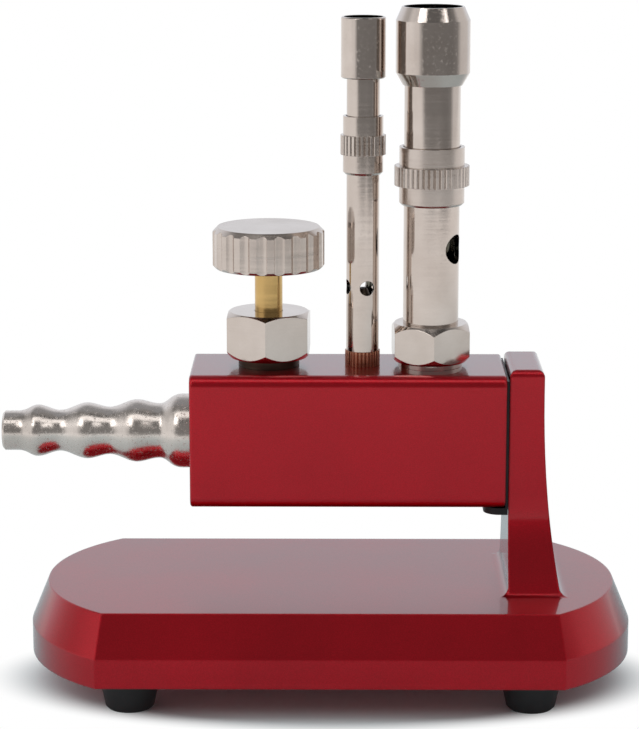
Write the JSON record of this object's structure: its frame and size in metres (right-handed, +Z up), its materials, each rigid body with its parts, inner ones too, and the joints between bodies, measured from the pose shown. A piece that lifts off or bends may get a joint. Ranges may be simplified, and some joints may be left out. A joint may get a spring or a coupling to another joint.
{
  "type": "bunsen burner",
  "caption": "Bench bunsen burner: painted stand with a tilting gas block, hose barb, needle valve with fluted knob, a small and a large burner tube with sliding knurled air sleeves.",
  "frame": {"origin": "middle of the bounding box, on the floor plane under the rubber feet", "axes": "+Z up along the burner tubes, +X from the hose barb to the upright arm, +Y away from the viewer of the front"},
  "size_m": [0.1146, 0.054, 0.1238],
  "materials": {
    "red_paint": "glossy metallic red lacquer on cast metal",
    "nickel": "bright nickel plating on turned brass",
    "brass": "bare turned brass",
    "rubber": "moulded black rubber",
    "black_steel": "black oxide sheet steel",
    "steel": "zinc-plated steel",
    "seal": "pressed fibre and packing"
  },
  "bodies": {
    "stand": {"base_stand": "red_paint", "foot_front_left": "rubber", "foot_front_right": "rubber", "foot_rear_left": "rubber", "foot_rear_right": "rubber", "foot_screws": "steel"},
    "burner_head": {"gas_block": "red_paint", "gallery_plug": "brass", "pivot_plate": "black_steel", "pivot_bolt": "steel", "pivot_washer": "steel", "hose_barb": "nickel", "inlet_seal": "seal", "valve_bonnet": "brass", "gland_packing": "seal", "gland_nut": "nickel", "small_base": "brass", "small_jet": "brass", "small_tube": "nickel", "small_cap": "nickel", "large_base_nut": "nickel", "large_jet": "brass", "large_tube": "nickel", "large_head": "nickel"},
    "needle": {"valve_needle": "steel"},
    "handle": {"valve_stem": "brass", "valve_knob": "nickel"},
    "small_carrier": {"small_sleeve_spring": "steel"},
    "small_sleeve": {"small_air_sleeve": "nickel"},
    "large_carrier": {"large_sleeve_spring": "steel"},
    "large_sleeve": {"large_air_sleeve": "nickel"}
  },
  "joints": [
    {"name": "head_tilt", "type": "hinge", "parent": "stand", "child": "burner_head", "pos_m": [0.03375, 0, 0.0471], "axis": [1, 0, 0], "range_deg": [-60, 60]},
    {"name": "valve_turn", "type": "hinge", "parent": "burner_head", "child": "handle", "pos_m": [-0.00885, 0, 0.08], "axis": [0, 0, 1], "range_deg": [0, 720]},
    {"name": "needle_lift", "type": "slide", "parent": "handle", "child": "needle", "axis": [0, 0, 1], "range_m": [0, 0.0016]},
    {"name": "small_sleeve_slide", "type": "slide", "parent": "burner_head", "child": "small_carrier", "axis": [0, 0, 1], "range_m": [-0.0317, 0.0063]},
    {"name": "small_sleeve_spin", "type": "hinge", "parent": "small_carrier", "child": "small_sleeve", "pos_m": [0.0081, 0, 0.0993], "axis": [0, 0, 1], "continuous": true},
    {"name": "large_sleeve_slide", "type": "slide", "parent": "burner_head", "child": "large_carrier", "axis": [0, 0, 1], "range_m": [-0.0206, 0.0106]},
    {"name": "large_sleeve_spin", "type": "hinge", "parent": "large_carrier", "child": "large_sleeve", "pos_m": [0.0204, 0, 0.0938], "axis": [0, 0, 1], "continuous": true}
  ],
  "couplings": [
    {"joint": "needle_lift", "follows": "valve_turn", "m_per_rad": 0.00012732}
  ]
}
